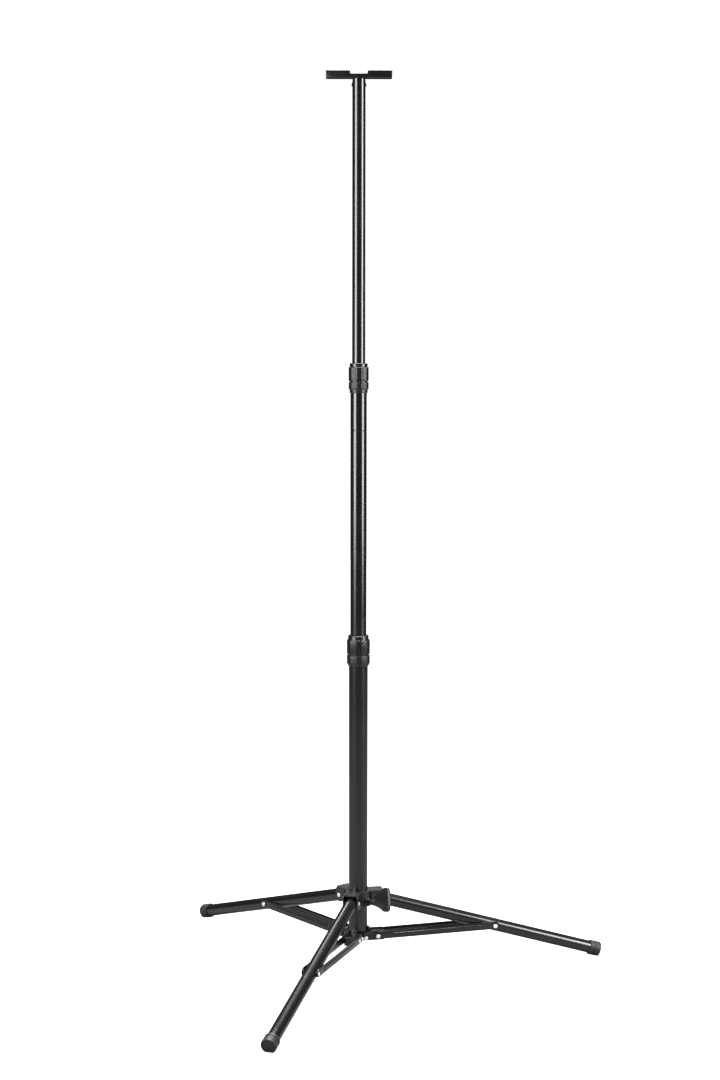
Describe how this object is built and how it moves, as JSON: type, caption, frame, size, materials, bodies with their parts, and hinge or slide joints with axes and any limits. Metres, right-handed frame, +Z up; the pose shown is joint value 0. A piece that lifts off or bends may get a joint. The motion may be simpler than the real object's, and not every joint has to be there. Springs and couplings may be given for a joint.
{
  "type": "telescopic tripod stand",
  "caption": "Black telescopic tripod stand with a short channel head on top, twist locks on the pole, braced folding legs and a sliding leg collar with a wing knob.",
  "frame": {"origin": "on the pole's axis at floor level", "axes": "+Z up the pole, +X along the head channel, -Y towards the side that the front leg points to"},
  "size_m": [0.6772, 0.698, 1.419],
  "materials": {
    "black_powder_coat": "semi-gloss black powder coat on steel",
    "black_nylon": "black moulded nylon, fine satin grain",
    "black_lock_plastic": "black moulded plastic, satin with a smoother cap",
    "bright_rivet_steel": "bright zinc-plated steel",
    "dark_screw_steel": "blackened steel",
    "brass_insert": "turned brass",
    "black_rubber": "moulded black rubber"
  },
  "bodies": {
    "base": {"outer_tube": "black_powder_coat", "lower_hub": "black_nylon", "lower_lock_base": "black_nylon", "lower_lock_collet": "black_nylon", "hub_bracket_right": "black_powder_coat", "hub_rivet_right": "bright_rivet_steel", "brace_pivot_rivet_right": "bright_rivet_steel", "hub_bracket_left": "black_powder_coat", "hub_rivet_left": "bright_rivet_steel", "brace_pivot_rivet_left": "bright_rivet_steel", "hub_bracket_front": "black_powder_coat", "hub_rivet_front": "bright_rivet_steel", "brace_pivot_rivet_front": "bright_rivet_steel"},
    "lower_nut": {"lower_lock_nut": "black_lock_plastic"},
    "middle_guide": {"middle_guide_bush": "black_nylon"},
    "middle_section": {"middle_tube": "black_powder_coat", "upper_lock_base": "black_nylon", "upper_lock_collet": "black_nylon"},
    "upper_nut": {"upper_lock_nut": "black_lock_plastic"},
    "top_guide": {"top_guide_bush": "black_nylon"},
    "top_section": {"top_tube": "black_powder_coat", "head_plug": "black_nylon", "head_channel": "black_powder_coat", "head_bolt": "dark_screw_steel", "head_screw_right": "dark_screw_steel", "head_screw_left": "dark_screw_steel"},
    "collar": {"collar": "black_nylon", "collar_insert": "brass_insert", "leg_pivot_rivet_right": "bright_rivet_steel", "leg_pivot_rivet_left": "bright_rivet_steel", "leg_pivot_rivet_front": "bright_rivet_steel"},
    "knob": {"wing_knob": "black_nylon", "clamp_stud": "dark_screw_steel"},
    "leg_right": {"leg_tube_right": "black_powder_coat", "foot_cap_right": "black_rubber"},
    "brace_right": {"brace_bar_right_a": "black_powder_coat", "brace_rivet_right_a": "bright_rivet_steel", "brace_washer_right_a": "black_nylon", "brace_bar_right_b": "black_powder_coat", "brace_rivet_right_b": "bright_rivet_steel", "brace_washer_right_b": "black_nylon"},
    "leg_left": {"leg_tube_left": "black_powder_coat", "foot_cap_left": "black_rubber"},
    "brace_left": {"brace_bar_left_a": "black_powder_coat", "brace_rivet_left_a": "bright_rivet_steel", "brace_washer_left_a": "black_nylon", "brace_bar_left_b": "black_powder_coat", "brace_rivet_left_b": "bright_rivet_steel", "brace_washer_left_b": "black_nylon"},
    "leg_front": {"leg_tube_front": "black_powder_coat", "foot_cap_front": "black_rubber"},
    "brace_front": {"brace_bar_front_a": "black_powder_coat", "brace_rivet_front_a": "bright_rivet_steel", "brace_washer_front_a": "black_nylon", "brace_bar_front_b": "black_powder_coat", "brace_rivet_front_b": "bright_rivet_steel", "brace_washer_front_b": "black_nylon"}
  },
  "joints": [
    {"name": "middle_slide", "type": "slide", "parent": "base", "child": "middle_guide", "axis": [0, 0, 1], "range_m": [-0.38, 0]},
    {"name": "middle_swivel", "type": "hinge", "parent": "middle_guide", "child": "middle_section", "pos_m": [0, 0, 0.47], "axis": [0, 0, 1], "continuous": true},
    {"name": "top_slide", "type": "slide", "parent": "middle_section", "child": "top_guide", "axis": [0, 0, 1], "range_m": [-0.42, 0]},
    {"name": "top_swivel", "type": "hinge", "parent": "top_guide", "child": "top_section", "pos_m": [0, 0, 0.888], "axis": [0, 0, 1], "continuous": true},
    {"name": "lower_nut_turn", "type": "hinge", "parent": "base", "child": "lower_nut", "pos_m": [0, 0, 0.528], "axis": [0, 0, 1], "range_deg": [0, 90]},
    {"name": "upper_nut_turn", "type": "hinge", "parent": "middle_section", "child": "upper_nut", "pos_m": [0, 0, 0.958], "axis": [0, 0, 1], "range_deg": [0, 90]},
    {"name": "collar_slide", "type": "slide", "parent": "base", "child": "collar", "axis": [0, 0, 1], "range_m": [0, 0.3311]},
    {"name": "knob_turn", "type": "hinge", "parent": "collar", "child": "knob", "pos_m": [0.01762, -0.0198, 0.1169], "axis": [0.6358, -0.7143, 0.2924], "range_deg": [0, 450]},
    {"name": "leg_fold_right", "type": "hinge", "parent": "collar", "child": "leg_right", "pos_m": [0.03212, 0.00664, 0.1185], "axis": [-0.2023, 0.9793, 0], "range_deg": [0, 68.7]},
    {"name": "brace_fold_right", "type": "hinge", "parent": "base", "child": "brace_right", "pos_m": [0.02977, 0.00615, 0.057], "axis": [0.2023, -0.9793, 0], "range_deg": [0, 82.6]},
    {"name": "leg_fold_left", "type": "hinge", "parent": "collar", "child": "leg_left", "pos_m": [-0.02181, 0.0245, 0.1185], "axis": [-0.747, -0.6648, 0], "range_deg": [0, 68.7]},
    {"name": "brace_fold_left", "type": "hinge", "parent": "base", "child": "brace_left", "pos_m": [-0.02021, 0.02271, 0.057], "axis": [0.747, 0.6648, 0], "range_deg": [0, 82.6]},
    {"name": "leg_fold_front", "type": "hinge", "parent": "collar", "child": "leg_front", "pos_m": [-0.01031, -0.03114, 0.1185], "axis": [0.9493, -0.3145, 0], "range_deg": [0, 68.7]},
    {"name": "brace_fold_front", "type": "hinge", "parent": "base", "child": "brace_front", "pos_m": [-0.00956, -0.02886, 0.057], "axis": [-0.9493, 0.3145, 0], "range_deg": [0, 82.6]}
  ],
  "couplings": [
    {"joint": "leg_fold_right", "follows": "collar_slide", "rad_per_m": 3.6203},
    {"joint": "brace_fold_right", "follows": "collar_slide", "rad_per_m": 4.353},
    {"joint": "leg_fold_left", "follows": "collar_slide", "rad_per_m": 3.6203},
    {"joint": "brace_fold_left", "follows": "collar_slide", "rad_per_m": 4.353},
    {"joint": "leg_fold_front", "follows": "collar_slide", "rad_per_m": 3.6203},
    {"joint": "brace_fold_front", "follows": "collar_slide", "rad_per_m": 4.353}
  ]
}
